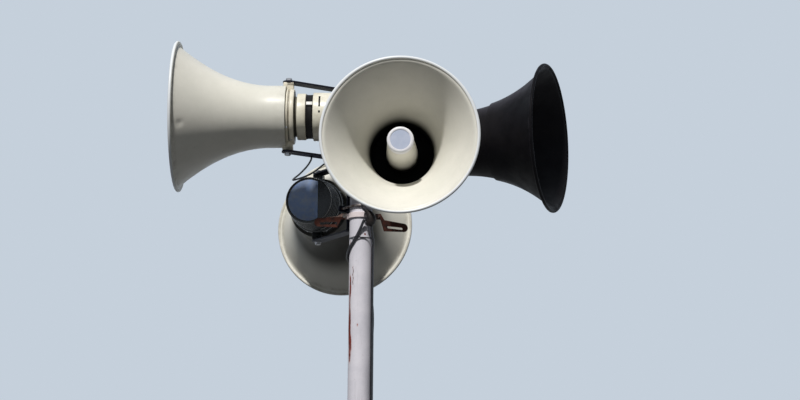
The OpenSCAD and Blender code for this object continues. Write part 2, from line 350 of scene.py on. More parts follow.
# %% Finish builder
class Finish:
    """One material under construction. Each call adds a node or two and gives back a socket."""

    def __init__(self, name, roughness=0.5, metallic=0.0, **sockets):
        self.material = bpy.data.materials.new(name)
        self.material.use_nodes = True
        self.tree = self.material.node_tree
        self.shader = self.tree.nodes["Principled BSDF"]
        self.set("Roughness", roughness)
        self.set("Metallic", metallic)
        for key, value in sockets.items():
            self.set(key.replace("_", " "), value)

    def set(self, socket, value):
        """Sets one of the shader's inputs to a number or links a socket to it."""
        if isinstance(value, bpy.types.NodeSocket):
            self.tree.links.new(value, self.shader.inputs[socket])
        else:
            self.shader.inputs[socket].default_value = value

    def place(self):
        """The three coordinates of the point on the piece, in metres."""
        where = new_node(self.tree, "TexCoord").outputs["Object"]
        return new_node(self.tree, "SeparateXYZ", {0: where}).outputs

    def noise(self, scale, stretch=(1, 1, 1), detail=5.0, rough=0.6, shift=(0, 0, 0)):
        """Cloudy noise between 0 and 1, with that many waves a metre, squeezed along the axes by stretch."""
        where = new_node(self.tree, "TexCoord").outputs["Object"]
        place = new_node(self.tree, "Mapping", {"Vector": where, "Scale": stretch, "Location": shift})
        cloud = new_node(self.tree, "TexNoise", {
            "Vector": place.outputs[0], "Scale": scale, "Detail": detail, "Roughness": rough})
        return cloud.outputs["Fac"]

    def mask(self, name):
        """The piece's own number at each point, kept under that name."""
        return new_node(self.tree, "Attribute", attribute_name=name, attribute_type="GEOMETRY").outputs["Fac"]

    def level(self, value, low, high, out_low=0.0, out_high=1.0):
        """Stretches the part of a value between low and high over the range from out_low to out_high."""
        return new_node(self.tree, "MapRange", {
            "Value": value, "From Min": low, "From Max": high, "To Min": out_low, "To Max": out_high},
            interpolation_type="SMOOTHSTEP").outputs[0]

    def math(self, operation, a, b=0.0):
        """Sum, product or the like of two numbers, kept between 0 and 1."""
        return new_node(self.tree, "Math", {0: a, 1: b}, operation=operation, use_clamp=True).outputs[0]

    def times(self, a, b):
        """Product of two numbers, kept between 0 and 1."""
        return self.math("MULTIPLY", a, b)

    def cloud(self, scale, low, high, *out_range, **noise):
        """Noise of that scale, stretched from low and high to 0 and 1 or to the range given."""
        return self.level(self.noise(scale, **noise), low, high, *out_range)

    def mix(self, factor, a, b):
        """Colour a where the factor is 0 and colour b where it is 1."""
        wide = [c if isinstance(c, bpy.types.NodeSocket) else (*c, 1) for c in (a, b)]
        return new_node(self.tree, "Mix", {0: factor, 6: wide[0], 7: wide[1]}, data_type="RGBA").outputs[2]

    def colour(self, value):
        """Sets the paint or metal colour."""
        self.set("Base Color", value)

    def bump(self, height, depth, strength=1.0):
        """Roughens the surface by a height between 0 and 1, which stands for that depth in metres."""
        relief = new_node(self.tree, "Bump", {"Height": height, "Distance": depth, "Strength": strength})
        self.set("Normal", relief.outputs[0])


# %% [markdown]
# The cream bells carry stove enamel that has stood outdoors for years. It is mottled by a few per cent, has
# faint grey rain marks that run down, tiny rust specks where the enamel has pinholes, and a film of dirt
# where water can't reach, which in the groove of the ring casting and towards the back of the bullet is
# painted shade. Another mask turns the inside of the neck, the back of the bullet and the recesses of the
# casting near black: this is painted shade. One bell is painted a dull black. On it the same recipe works
# the other way round: a mask pales what faces the sky, which is partly dust and partly a painted sunlit
# sheen.

# On the rear bell the near-black mask also darkens the back towards its neck, which is painted shade. The
# rolled rims of the cream bells are turned bluish white by a mask called rim, which is a painted highlight.

# %% Enamel
painted_shade_black = (0.003, 0.003, 0.003)
pinhole_rust = (0.22, 0.12, 0.07)
rim_highlight = (0.90, 0.94, 0.99)


def enamel(name, fresh, faded, dirt, streak_strength, roughness=(0.28, 0.46), **sockets):
    """Weathered enamel: two tones mixed by a cloud, rain marks, specks, and where the masks say dirt, painted
    shade, a painted highlight and a painted sheen.
    """
    f = Finish(name, **sockets)
    paint = f.mix(f.cloud(5.0, 0.35, 0.70, detail=6), fresh, faded)
    streaks = f.cloud(1.0, 0.52, 0.78, stretch=(70, 70, 5), detail=6, rough=0.7)
    wash = f.cloud(3.5, 0.40, 0.65, shift=(2, 1, 0))
    marks = f.times(f.times(streaks, wash), streak_strength)
    # Dirt in patches where a mask says; in the ring's groove and towards the bullet's back this darkening is
    # painted shade.
    grime = f.times(f.mask("grime"), f.cloud(28.0, 0.30, 0.72, detail=7, rough=0.7))
    patchy = f.cloud(12.0, 0.25, 0.75, 0.5, 1.0, detail=7, rough=0.65)
    # On the dark bell, paler where it faces the sky: partly dust, partly a painted sunlit sheen.
    dust = f.times(f.mask("dust"), patchy)
    paint = f.mix(f.math("ADD", f.math("ADD", marks, grime), dust), paint, dirt)
    specks = f.cloud(420.0, 0.735, 0.775, detail=2)
    paint = f.mix(f.times(specks, 0.55), paint, pinhole_rust)
    # Near black where a mask says: painted shade in the neck, the bullet and the casting's recesses.
    paint = f.mix(f.mask("deep"), paint, painted_shade_black)
    # The rolled rim goes bluish white: a painted highlight.
    f.colour(f.mix(f.mask("rim"), paint, rim_highlight))
    f.set("Specular IOR Level", f.level(f.mask("deep"), 0, 1, sockets.get("Specular_IOR_Level", 0.5), 0.02))
    f.set("Coat Weight", f.level(f.mask("deep"), 0, 1, sockets.get("Coat_Weight", 0.0), 0.0))
    f.set("Roughness", f.cloud(16.0, 0.3, 0.7, *roughness, detail=6))
    f.bump(f.noise(240.0, detail=3), 0.00006)
    return f.material


gloss = {"Specular_IOR_Level": 0.25, "Coat_Weight": 0.10, "Coat_Roughness": 0.22}
dull = {"Specular_IOR_Level": 0.05}
CREAM = enamel("cream_enamel", (0.86, 0.84, 0.77), (0.79, 0.78, 0.71), (0.36, 0.34, 0.28), 0.20, **gloss)
RING_CREAM = enamel("ring_enamel", (0.92, 0.88, 0.76), (0.86, 0.81, 0.68), (0.26, 0.20, 0.13), 0.30, **gloss)
DRIVER_CREAM = enamel("driver_enamel", (0.93, 0.90, 0.78), (0.88, 0.84, 0.70), (0.34, 0.28, 0.19), 0.20,
                      **gloss)
DARK = enamel("dark_enamel", (0.004, 0.0038, 0.005), (0.010, 0.009, 0.010), (0.052, 0.049, 0.062), 0.15,
              (0.42, 0.62), **dull)


# %% [markdown]
# The rest of the finishes: the chalky lavender-white of the mast with its rust, the black of the yokes and
# bands, zinc on the bolts, the plate on the rear driver, pale in itself but coloured a darker blue-grey as
# painted sky-lit shade, the plastic cap of the bullet, and rubber and tape on the cables. The strap wears the
# mast's paint where it goes round the pipe, and has lost it on its wings, so its finish measures how far a
# point is from the mast's centre line. A pale band along the top of the left wing is a painted highlight of
# the wing's sunlit top.

# %% Mast paint, rust, black paint, metal and plastic
def mast_paint(name):
    """Chalky white paint that peels: where the rust mask and a fine cloud agree, red-brown scale shows."""
    f = Finish(name, roughness=0.6, Specular_IOR_Level=0.35)
    mottle = f.cloud(9.0, 0.32, 0.72, detail=7, rough=0.65)
    chalk = f.mix(mottle, (0.82, 0.80, 0.88), (0.69, 0.68, 0.76))
    soot_and_shade = f.cloud(1.0, 0.52, 0.80, stretch=(90, 90, 7), detail=6, rough=0.7, shift=(3, 0, 0))
    chalk = f.mix(f.times(soot_and_shade, 0.30), chalk, (0.30, 0.29, 0.32))
    fine = f.cloud(210.0, 0.60, 0.72, detail=4)
    chalk = f.mix(f.times(fine, 0.25), chalk, (0.34, 0.30, 0.31))
    flakes = f.noise(34.0, stretch=(1, 1, 0.35), detail=8, rough=0.72)
    ragged = f.times(f.math("ADD", flakes, f.mask("rust")), 0.8)
    bare = f.level(ragged, 0.745, 0.79)
    rust = f.mix(f.cloud(120.0, 0.35, 0.65, detail=6), (0.23, 0.030, 0.018), (0.060, 0.012, 0.009))
    halo = f.level(ragged, 0.64, 0.78)
    chalk = f.mix(f.times(halo, 0.60), chalk, (0.55, 0.25, 0.20))
    rust = f.mix(f.mask("crack"), rust, (0.018, 0.010, 0.012))
    f.colour(f.mix(bare, chalk, rust))
    f.set("Roughness", f.level(bare, 0, 1, 0.58, 0.85))
    grain = f.cloud(150.0, 0.2, 0.8, 0.6, 0.9, detail=5)
    height = f.math("SUBTRACT", grain, f.times(bare, 0.5))
    f.bump(height, 0.0004, 0.6)
    return f.material


strap_z = sum(corner[2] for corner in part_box("strap_bolts")) / 2


def rust_metal(name):
    """Old strap steel: dark brown scale with orange bloom, the mast's paint near the pipe, and a pale band
    along the top of the left wing, which is a painted highlight of its sunlit top."""
    f = Finish(name, roughness=0.8, Specular_IOR_Level=0.25)
    mottle = f.cloud(60.0, 0.35, 0.68, detail=8, rough=0.7)
    scale = f.mix(mottle, (0.014, 0.005, 0.004), (0.075, 0.020, 0.012))
    bloom = f.cloud(22.0, 0.52, 0.66, detail=6, shift=(5, 0, 0))
    scale = f.mix(f.times(bloom, 0.40), scale, (0.17, 0.050, 0.030))
    x, y, z = f.place()
    off_axis = f.math("ADD", f.times(x, x), f.times(y, y))
    ragged = f.noise(70.0, detail=6, shift=(0, 7, 0))
    on_pipe = f.level(off_axis, 0.0030, 0.0021)
    # The pale band along the top of the left wing is a painted highlight: the wing's sunlit top above its
    # shade.
    high = f.times(f.level(z, strap_z - 0.004, strap_z + 0.001), f.level(x, -0.044, -0.050))
    worn_and_lit = f.times(high, f.level(ragged, 0.25, 0.50))
    painted = f.math("MAXIMUM", f.times(on_pipe, f.level(ragged, 0.22, 0.38)), worn_and_lit)
    pale = f.mix(on_pipe, (0.78, 0.52, 0.44), (0.86, 0.76, 0.78))
    f.colour(f.mix(painted, scale, pale))
    f.bump(f.noise(300.0, detail=8, rough=0.7), 0.0008, 0.7)
    return f.material


def black_paint(name, colour, chip, roughness, scale, **sockets):
    """Black paint with a cloud of dust, and chips where a finer cloud is high."""
    f = Finish(name, roughness=roughness, **sockets)
    dust = f.cloud(scale, 0.40, 0.75, detail=6)
    dusty = f.mix(dust, colour, tuple(1.8 * c + 0.004 for c in colour))
    chips = f.cloud(95.0, 0.665, 0.70, detail=7, rough=0.7)
    f.colour(f.mix(chips, dusty, chip))
    grain = f.noise(320.0, detail=4)
    f.bump(f.math("SUBTRACT", grain, f.times(chips, 0.4)), 0.0002, 0.5)
    return f.material


def zinc_metal(name, tone, rusted):
    """Dull plated steel: a mottled grey, with rust where the cloud is high."""
    f = Finish(name, roughness=0.42, metallic=0.85)
    plate = f.mix(f.cloud(150.0, 0.35, 0.65, detail=4), tone, tuple(0.6 * c for c in tone))
    cloud = f.noise(80.0, detail=6, rough=0.7, shift=(1, 4, 0))
    rust = f.level(cloud, 0.62 - 0.2 * rusted, 0.74 - 0.2 * rusted)
    f.colour(f.mix(rust, plate, (0.060, 0.028, 0.020)))
    f.set("Metallic", f.level(rust, 0, 1, 0.85, 0.05))
    f.set("Roughness", f.level(rust, 0, 1, 0.38, 0.85))
    f.bump(f.noise(500.0, detail=4), 0.0002, 0.5)
    return f.material


def smooth_plastic(name, colour, worn_and_lit, roughness=0.35, grain=600.0, **sockets):
    """Moulded plastic or rubber: two close tones, and a fine grain."""
    f = Finish(name, roughness=roughness, **sockets)
    f.colour(f.mix(f.cloud(45.0, 0.35, 0.70, detail=6), colour, worn_and_lit))
    f.bump(f.noise(grain, detail=3), 0.0001, 0.4)
    return f.material


MAST_WHITE = mast_paint("mast_paint")
STRAP_RUST = rust_metal("strap_rust")
YOKE_BLACK = black_paint("yoke_paint", (0.004, 0.004, 0.011), (0.06, 0.028, 0.022), 0.50, 30.0,
                         Specular_IOR_Level=0.2)
BAND_BLACK = black_paint("band_rubber", (0.006, 0.005, 0.005), (0.02, 0.02, 0.02), 0.62, 60.0,
                         Specular_IOR_Level=0.15)
DRIVER_DARK = black_paint("driver_black", (0.005, 0.006, 0.007), (0.02, 0.02, 0.025), 0.24, 40.0,
                          Specular_IOR_Level=0.35)
BOLT_ZINC = zinc_metal("bolt_zinc", (0.42, 0.42, 0.44), 0.2)
BOLT_RUSTY = zinc_metal("bolt_rusty", (0.20, 0.18, 0.17), 0.9)
# Pale in itself, the plate is given a darker blue-grey: painted sky-lit shade.
PLATE_SKY_SHADE = smooth_plastic("plate_sky_shade", (0.33, 0.47, 0.82), (0.46, 0.56, 0.78), 0.30,
                            Specular_IOR_Level=0.3)
CAP_WHITE = smooth_plastic("cap_white", (0.90, 0.90, 0.94), (0.84, 0.84, 0.90), 0.30)
DISC_GREY = smooth_plastic("disc_grey", (0.50, 0.56, 0.72), (0.56, 0.61, 0.76), 0.35)
CLIP_WHITE = smooth_plastic("clip_white", (0.84, 0.83, 0.80), (0.6, 0.6, 0.58), 0.4)
CABLE_BLACK = smooth_plastic("cable_sheath", (0.006, 0.006, 0.009), (0.020, 0.020, 0.026), 0.30)
TAPE_BLACK = smooth_plastic("splice_tape", (0.008, 0.006, 0.006), (0.020, 0.014, 0.013), 0.55, 300.0,
                            Specular_IOR_Level=0.25)

# %% [markdown]
# ## The leads
# A lead leaves the left yoke, hangs in a slack loop and comes back to a taped splice beside the strap, and
# two cables run on from there. One goes straight down the mast. The other winds round the back of it first.
# The lead and the splice follow listed points, which are joined by a smooth curve: between two
# points it is the cubic that leaves and arrives in the direction of their neighbours. The winding is a
# formula: its turn grows fast and then slows, while its height falls ever faster.

# %% Routes
lead_route = [
    (-165, -103, 3207), (-165, -103, 3197), (-170, -95, 3188), (-180, -80, 3177), (-193, -61, 3167),
    (-207, -41, 3158), (-220, -22, 3152), (-228, -6, 3149), (-230, 7, 3149), (-225, 18, 3152),
    (-214, 22, 3156), (-200, 19, 3160), (-184, 12, 3165), (-168, 3, 3171), (-152, -9, 3179),
    (-137, -24, 3188), (-122, -41, 3195), (-105, -58, 3198), (-86, -73, 3195), (-64, -83, 3187),
    (-40, -88, 3174), (-16, -86, 3158), (2, -81, 3141),
    (8, -80, 3127), (7, -79, 3108), (6, -78, 3090), (5, -76, 3072), (4, -74, 3056), (4, -72, 3044),
    (8, -69, 3035), (14, -66, 3032)]
splice_route = [
    (14, -66, 3032), (20, -63, 3029), (28, -58, 3021), (33, -54, 3009), (33, -53, 2998), (31, -50, 2990),
    (31, -50, 2984)]
splice_share = [0.25, 0.45, 0.8, 1, 0.95, 0.8, 0.6]
winding_start = [
    (15, -53, 3002), (11, -53, 3001), (7, -51, 2993), (2, -48, 2981), (-4, -45, 2968), (-10, -42, 2956),
    (-17, -40, 2944), (-24, -36, 2932), (-31, -30, 2922), (-36, -24, 2912), (-41, -14, 2902)]
riser_start = [
    (36, -47, 2984), (36, -47, 2978), (37, -43, 2967), (39, -35, 2955), (41, -26, 2942), (42, -17, 2928)]
lead_r, riser_r, winding_r, splice_r = 0.003, 0.004, 0.0045, 0.018
mast_r = 0.038
flange_t = 0.014
seat = 0.0003
riser_turn = math.radians(-17)
winding_turns = np.radians([-161, -346])


def smooth_path(values, steps=8):
    """Cubic through all points: p = the mix of both ends and of the half differences of their neighbours."""
    p = np.asarray(values, float)
    ends = np.concatenate([[2 * p[0] - p[1]], p, [2 * p[-1] - p[-2]]])
    before, here, there, after = ends[:-3, None], ends[1:-2, None], ends[2:-1, None], ends[3:, None]
    t = (np.arange(steps) / steps).reshape(1, -1, *[1] * (p.ndim - 1))
    leave, arrive = (there - before) / 2, (after - here) / 2
    curve = ((2 * t ** 3 - 3 * t ** 2 + 1) * here + (t ** 3 - 2 * t ** 2 + t) * leave
             + (3 * t ** 2 - 2 * t ** 3) * there + (t ** 3 - t ** 2) * arrive)
    return np.concatenate([curve.reshape(-1, *p.shape[1:]), p[-1:]])


def down_to_foot(turn, centre_r, start_z, steps=60):
    """Straight stretch down the mast at one turn, from start_z to the foundation."""
    z = np.linspace(start_z, 0, steps)
    return np.stack([centre_r * np.cos(turn) + 0 * z, centre_r * np.sin(turn) + 0 * z, z], -1)


def winding_path():
    """The chosen start, then steps t up to 1: a turn of t (2 - t) and a fall of 0.20 t + 0.04 t t metres."""
    t = np.arange(1, 15) / 14
    turn = winding_turns[0] + (winding_turns[1] - winding_turns[0]) * t * (2 - t)
    centre_r = (mast_r + seat + winding_r) / math.cos(math.radians(13))
    z = winding_start[-1][2] / 1000 - 0.200 * t - 0.040 * t * t
    behind = np.stack([centre_r * np.cos(turn), centre_r * np.sin(turn), z], -1)
    bent = smooth_path(np.concatenate([np.array(winding_start) / 1000, behind]), 6)
    return np.concatenate([bent, down_to_foot(turn[-1], mast_r + seat + winding_r, z[-1] - 0.030)])


def riser_path():
    """The chosen start, then straight down beside the pipe."""
    centre_r = mast_r + seat + riser_r
    low = down_to_foot(riser_turn, centre_r, 2.890)
    start = np.concatenate([np.array(riser_start) / 1000, [low[0] + [0, 0, 0.020], low[0]]])
    return np.concatenate([smooth_path(start, 6), low[1:]])


# %% The lead, the splice and the two cables
def lead():
    """The slack lead, a tube whose length is that of the smooth curve."""
    path = smooth_path(np.array(lead_route) / 1000, 6)
    cable = piece("lead", tube(path, lead_r, 16), "mast", CABLE_BLACK)


def splice():
    """Taped joint: each turn of tape lies over the last, so the radius rises along a pitch and drops back."""
    path = smooth_path(np.array(splice_route) / 1000, 26)
    radius = smooth_path(np.array(splice_share), 26) * splice_r
    tape_w, tape_lift, steps = 0.0075, 0.0007, 48
    run = np.concatenate([[0], np.cumsum(np.linalg.norm(np.diff(path, axis=0), axis=1))])
    points, faces = tube(path, radius, steps)
    rings = points.reshape(-1, steps, 3)
    turn = ring_angles(steps)
    wrap = np.mod(run[:, None] / tape_w - turn / (2 * np.pi), 1)
    lumps = 0.5 * np.sin(3 * turn + 90 * run[:, None]) + 0.5 * np.sin(2 * turn - 160 * run[:, None] + 1)
    sink = tape_lift * (1 - wrap) + 0.0006 * (1 + lumps)
    share = 1 - sink / radius[:, None]
    rings[1:-1] = path[:, None] + (rings[1:-1] - path[:, None]) * share[..., None]
    piece("splice", (rings.reshape(-1, 3), faces), "mast", TAPE_BLACK, sharp_deg=25)


def belt(z, tilt, holds, thick=0.0012, height=0.0042):
    """A tie tight round several round things (x, y, r): each way it touches what reaches furthest."""
    turn = ring_angles(240)
    facing = np.stack([np.cos(turn), np.sin(turn)], -1)
    centres, radii = np.array([h[:2] for h in holds]), np.array([h[2] for h in holds])
    furthest = np.argmax(facing @ centres.T + radii, axis=1)
    touch = centres[furthest] + radii[furthest, None] * facing
    rings = []
    for out, up in ((0, 0), (0, 1), (1, 1), (1, 0)):
        flat = touch + facing * out * thick
        rings.append(np.column_stack([flat, z + tilt * flat[:, 0] + (up - 0.5) * height]))
    return grid(np.stack(rings, 1), rows_close=True)


def beside_mast(turn, radius):
    """Where a cable of that radius lies against the pipe in plan, as (x, y, radius)."""
    centre_r = mast_r + seat + radius
    return centre_r * math.cos(turn), centre_r * math.sin(turn), radius


def bush(place):
    """Rubber bush where a cable goes into the flange: a low round collar."""
    x, y, radius = place
    rise, width = 0.004, 0.003
    profile = [(0, radius), (rise, radius)] + arc(rise - 0.0015, radius + width - 0.0015, 0.0015, 0, 90, 5)
    profile += [(0, radius + width)]
    return shifted(turned(spin(profile, 40), -90, "Y"), x, y, flange_t)


def cables():
    """The winding cable, the riser, the ties that hold both on the mast, and the bushes at the foot."""
    piece("winding", tube(winding_path(), winding_r, 20), "mast", CABLE_BLACK)
    piece("riser", tube(riser_path(), riser_r, 20), "mast", CABLE_BLACK)
    upper = belt(2.946, -0.04, [(0, 0, mast_r), (-0.0165, -0.040, winding_r), (0.041, -0.028, riser_r)])
    sides = [beside_mast(riser_turn, riser_r), beside_mast(winding_turns[1], winding_r)]
    lower = [belt(z, 0.0, [(0, 0, mast_r), *sides]) for z in (0.55, 1.10, 1.65, 2.20)]
    piece("cable_ties", join(upper, *lower), "mast", CABLE_BLACK)
    piece("cable_bushes", join(*map(bush, sides)), "mast", BAND_BLACK)


lead()
splice()
cables()

# %% [markdown]
# ## Where a horn stands
# Every horn has its own coordinates: the origin on its pivot line, X along the horn towards its mouth, Z
# up. The frame knows both points that this needs. The joint gives the pivot, and the middle of the driver's
# round band lies on the horn's axis behind it, so the line from one to the other is the direction in which
# the horn points.

# %% Horn and yoke places
HORNS = ["left", "front", "right", "rear"]


def pivot_of(horn):
    """The point on the horn's pivot line at the height of its axis."""
    joint = next(j for j in frame["joints"] if j["child"] == horn + "_horn")
    return Vector(joint["pos_m"])


def horn_place(horn):
    """The matrix from the horn's own coordinates to the frame's."""
    low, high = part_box(horn + "_band")
    ahead = pivot_of(horn) - (Vector(low) + Vector(high)) / 2
    return Matrix.Translation(pivot_of(horn)) @ Matrix.Rotation(math.atan2(ahead.y, ahead.x), 4, "Z")


def yoke_place(horn):
    """The matrix from the yoke's own coordinates, X from the mast to the pivot, to the frame's."""
    pivot = pivot_of(horn)
    return Matrix.Translation((0, 0, pivot.z)) @ Matrix.Rotation(math.atan2(pivot.y, pivot.x), 4, "Z")


def on_horn(name, horn, shape, finish, slot, replaces=(), masks=None):
    """A piece that is made in the horn's own coordinates and turns with the horn."""
    shape = moved(shape, horn_place(horn))
    return piece(f"{horn}_{name}", shape, horn + "_horn", finish, replaces, masks)


DARK_COAT, CREAM_COAT = (DARK, "bell_dark"), (CREAM, "bell_cream")
DRIVER_COAT, OLD_COAT = (DRIVER_CREAM, "driver_cream"), (DRIVER_DARK, "driver_dark")
COATS = {"bell": {"right": DARK_COAT, "others": CREAM_COAT},
         "cap": {"right": DARK_COAT, "others": (CAP_WHITE, "bell_cream")},
         "disc": {"right": DARK_COAT, "others": (DISC_GREY, "bell_cream")},
         "ring": {"right": DARK_COAT, "rear": OLD_COAT, "others": (RING_CREAM, "ring_cream")},
         "drum": {"right": DARK_COAT, "rear": OLD_COAT, "others": DRIVER_COAT},
         "cover": {"right": DARK_COAT, "rear": (DRIVER_DARK, "driver_grey"), "others": DRIVER_COAT}}


def coat(part, horn):
    """The finish and the material slot of one part of a horn."""
    return COATS[part].get(horn, COATS[part]["others"])


for horn in HORNS:
    heading = math.degrees(horn_place(horn).to_euler().z)
    print(f"{horn} horn: pivot {tuple(round(v, 3) for v in pivot_of(horn))}, heading {heading:.1f}")

# %% [markdown]
# ## The bells
# A bell is spun from sheet metal over a former. Its radius falls from the mouth by a power of the distance
# and ends in a straight neck. At the mouth the sheet turns out into a narrow flange, whose edge is rolled
# over a wire: this is the bright bead, and the step behind it is the dark line beside it. The dark bell is
# an older make in two parts, and the front part laps over the back part by a few millimetres. Sheet metal
# is never quite round, so a few slow waves of less than a millimetre are added, with a dent where one has
# been knocked.

# %% Bell
BellForm = namedtuple("BellForm", "neck_r flare_len power lap_x lap_step")
LIGHT_BELL = BellForm(0.103, 0.315, 2.0, 0.0, 0.0)
DARK_BELL = BellForm(0.108, 0.350, 2.5, 0.178, 0.005)
mouth_reach = 0.370
mouth_r = 0.250
bead_r = 0.0055
sheet = 0.0025
ring_front = 0.006
plate_t = 0.004
tube_r = 0.022
lap_len = 0.008
lip_r = mouth_r - 1.8 * bead_r
bead_x = mouth_reach - bead_r
bead_centre_r = mouth_r - bead_r
flange_back = bead_x - sheet


def flare_r(x, form):
    """Outer radius: the neck's, plus a power of how far x has come from the flare's start to the mouth."""
    share = np.clip(1 - (mouth_reach - x) / form.flare_len, 0, 1)
    return form.neck_r + (lip_r - form.neck_r) * share ** form.power


def lap(x, lap_x, step):
    """Height of the front part over the back part: the step at the seam, less and less towards the rim."""
    return step * (x >= lap_x) * (mouth_reach - x) / (mouth_reach - lap_x) if step else 0 * x


def wall_x(lap_x, step, last_x, count):
    """Places along the wall from the neck to the mouth, with two more a hair's breadth apart at a seam."""
    x = np.linspace(ring_front, last_x, count)
    return np.sort(np.append(x, [lap_x - 1e-5, lap_x + 1e-5])) if step else x


def bell_profile(form):
    """The wall's closed outline as (x, r): inner wall, flange, bead, flange's back, outer wall, back plate."""
    plate_x = ring_front + plate_t
    inner_seam = form.lap_x + lap_len
    inner_x = wall_x(inner_seam, form.lap_step, bead_x - 0.0030, 60)
    inner_x = inner_x[inner_x > plate_x]
    inner_r = flare_r(inner_x, form) + lap(inner_x, inner_seam, form.lap_step) - sheet
    lip_in = flare_r(bead_x, form) - sheet
    inner = [(plate_x, tube_r + seat), (plate_x, inner_r[0]), *zip(inner_x, inner_r)]
    turn_out = [(bead_x - 0.0008, lip_in + 0.0006), (bead_x, lip_in + 0.0025)]
    bead = arc(bead_x, bead_centre_r, bead_r, -82, 240, 26)
    outer_x = wall_x(form.lap_x, form.lap_step, flange_back - 0.0035, 60)[::-1]
    outer_r = flare_r(outer_x, form) + lap(outer_x, form.lap_x, form.lap_step)
    step_in = [(flange_back, lip_in + sheet + 0.0015), (flange_back - 0.0012, lip_in + 0.0012)]
    outer = [*zip(outer_x, outer_r), (ring_front, tube_r + seat)]
    return np.array(inner + turn_out + bead + step_in + outer)


def bell(horn, form, seed, dent=None, soot_and_shade=0.0):
    """The spun bell: its outline carried round the axis, a little out of round, with at most one dent."""
    points, faces = spin(bell_profile(form), steps=180)
    x, r, turn = points[:, 0], np.hypot(points[:, 1], points[:, 2]), np.arctan2(points[:, 2], points[:, 1])
    phase = np.random.default_rng(seed).uniform(0, 2 * np.pi, 4)
    wave = sum(np.sin((k + 2) * turn + p + 9 * x) for k, p in enumerate(phase)) * 0.00035
    push = wave * smoothstep(0.12, 0.20, r) * smoothstep(0.2505, 0.244, r)
    if dent:
        dent_x, dent_deg, dent_deep, dent_wide = dent
        away = np.hypot(x - dent_x, r * np.radians(degrees_from(turn, dent_deg)))
        push = push - dent_deep * np.exp(-(away / dent_wide) ** 2)
    new_r = r + push
    points = np.stack([x, new_r * np.cos(turn), new_r * np.sin(turn)], -1)
    wall = flare_r(x, form) + lap(x, form.lap_x, form.lap_step)
    inside = (r < wall - 0.6 * sheet) & (x < bead_x - 0.001)
    outside = ~inside & (x < flange_back - 0.001)
    rim_dirt = 0.5 * smoothstep(0.010, 0.0, np.abs(x - flange_back + 0.004))
    # Near black inside the neck, and on the rear bell's back towards the neck: painted shade.
    masks = {"deep": inside * smoothstep(0.160, 0.080, x) + soot_and_shade * outside * smoothstep(0.32, 0.22, x),
             "grime": np.clip(0.06 + (rim_dirt + 0.25 * smoothstep(0.06, ring_front, x)) * outside, 0, 1)}
    if form is DARK_BELL:
        # Paler where the dark bell faces the sky: partly dust, partly a painted sunlit sheen.
        masks["dust"] = outside * smoothstep(0.45, 1.0, np.sin(turn))
    else:
        # The bead's bluish white is a painted highlight.
        masks["rim"] = 0.9 * (r > bead_centre_r - 0.6 * bead_r) * (x > flange_back - 0.001)
    on_horn("bell_skin", horn, (points, faces), *coat("bell", horn), [horn + "_bell"], masks)


bell("left", LIGHT_BELL, 1, dent=(0.336, -19, 0.0035, 0.009))
bell("front", LIGHT_BELL, 2)
bell("right", DARK_BELL, 3)
# The rear bell's back gets painted shade towards its neck.
bell("rear", LIGHT_BELL, 4, soot_and_shade=0.85)

# %% [markdown]
# ## The bullets
# Inside the mouth hangs the bullet, a second horn that opens backwards: a cone with an open back round the
# throat tube, which three thin webs hold on the tube. The webs taper with the cone. A pressed plastic cap
# closes its nose. The cap is a shallow dish with a rolled edge, and its face is plain.

# %% Bullet and nose cap
bullet_front = 0.292
bullet_back = 0.052
nose_edge = 0.008
cup_front_r = 0.040
cup_back_r = 0.053
cup_wall = 0.0025
tube_front = 0.222
cap_skirt = 0.026


def cup_r(x):
    """Outer radius of the cone, straight from its open back to where the nose begins to turn in."""
    return np.interp(x, [bullet_back, bullet_front - nose_edge], [cup_back_r, cup_front_r])


def web():
    """A plate from the tube to the cone: a thin block whose height at each x is the room between the two."""
    points, faces = shifted(block((0.150, 0.003, 1.0), 0.0012), x=0.140)
    low = tube_r - 0.001
    share = np.clip(points[:, 2] + 0.5, 0, 1)
    points[:, 2] = low + share * (cup_r(points[:, 0]) - cup_wall / 2 - low)
    return points, faces


def bullet(horn):
    """Cone with an open back, throat tube and webs, all closed outlines about the horn's axis."""
    cone_x = np.linspace(bullet_back, bullet_front - nose_edge, 24)
    inner = list(zip(cone_x[::-1], cup_r(cone_x[::-1]) - cup_wall))
    curl = arc(bullet_back, cup_back_r - cup_wall / 2, 0.0019, 250, 110, 9)
    nose = arc(bullet_front - nose_edge, cup_front_r - nose_edge, nose_edge - 0.0004, 80, 30, 5)
    face, back = bullet_front - 0.004, bullet_front - 0.006
    front = [(face, cup_front_r - 0.0055), (face, 0.0), (back, 0.0), (back, cup_front_r - nose_edge)]
    cone = spin(inner + curl + list(zip(cone_x[1:], cup_r(cone_x[1:]))) + nose + front, 96)
    throat = spin([(ring_front, tube_r - 0.003), (ring_front, tube_r), (tube_front, tube_r),
                   (tube_front, tube_r - 0.003)], 48)
    shape = join(cone, throat, *[turned(web(), turn, "X") for turn in (0, 120, 240)])
    x = shape[0][:, 0]
    r = np.hypot(shape[0][:, 1], shape[0][:, 2])
    hidden = (r < cup_r(x) - 0.6 * cup_wall) & (x < bullet_front - nose_edge)
    # Near black at the throat tube, the back of the cone and its inside: painted shade.
    masks = {"deep": np.maximum(smoothstep(0.125, 0.060, x), hidden * smoothstep(0.25, 0.20, x)),
             "grime": 0.05 + 0.2 * smoothstep(0.22, 0.12, x)}
    on_horn("bullet_skin", horn, shape, *coat("bell", horn), [horn + "_bullet"], masks)


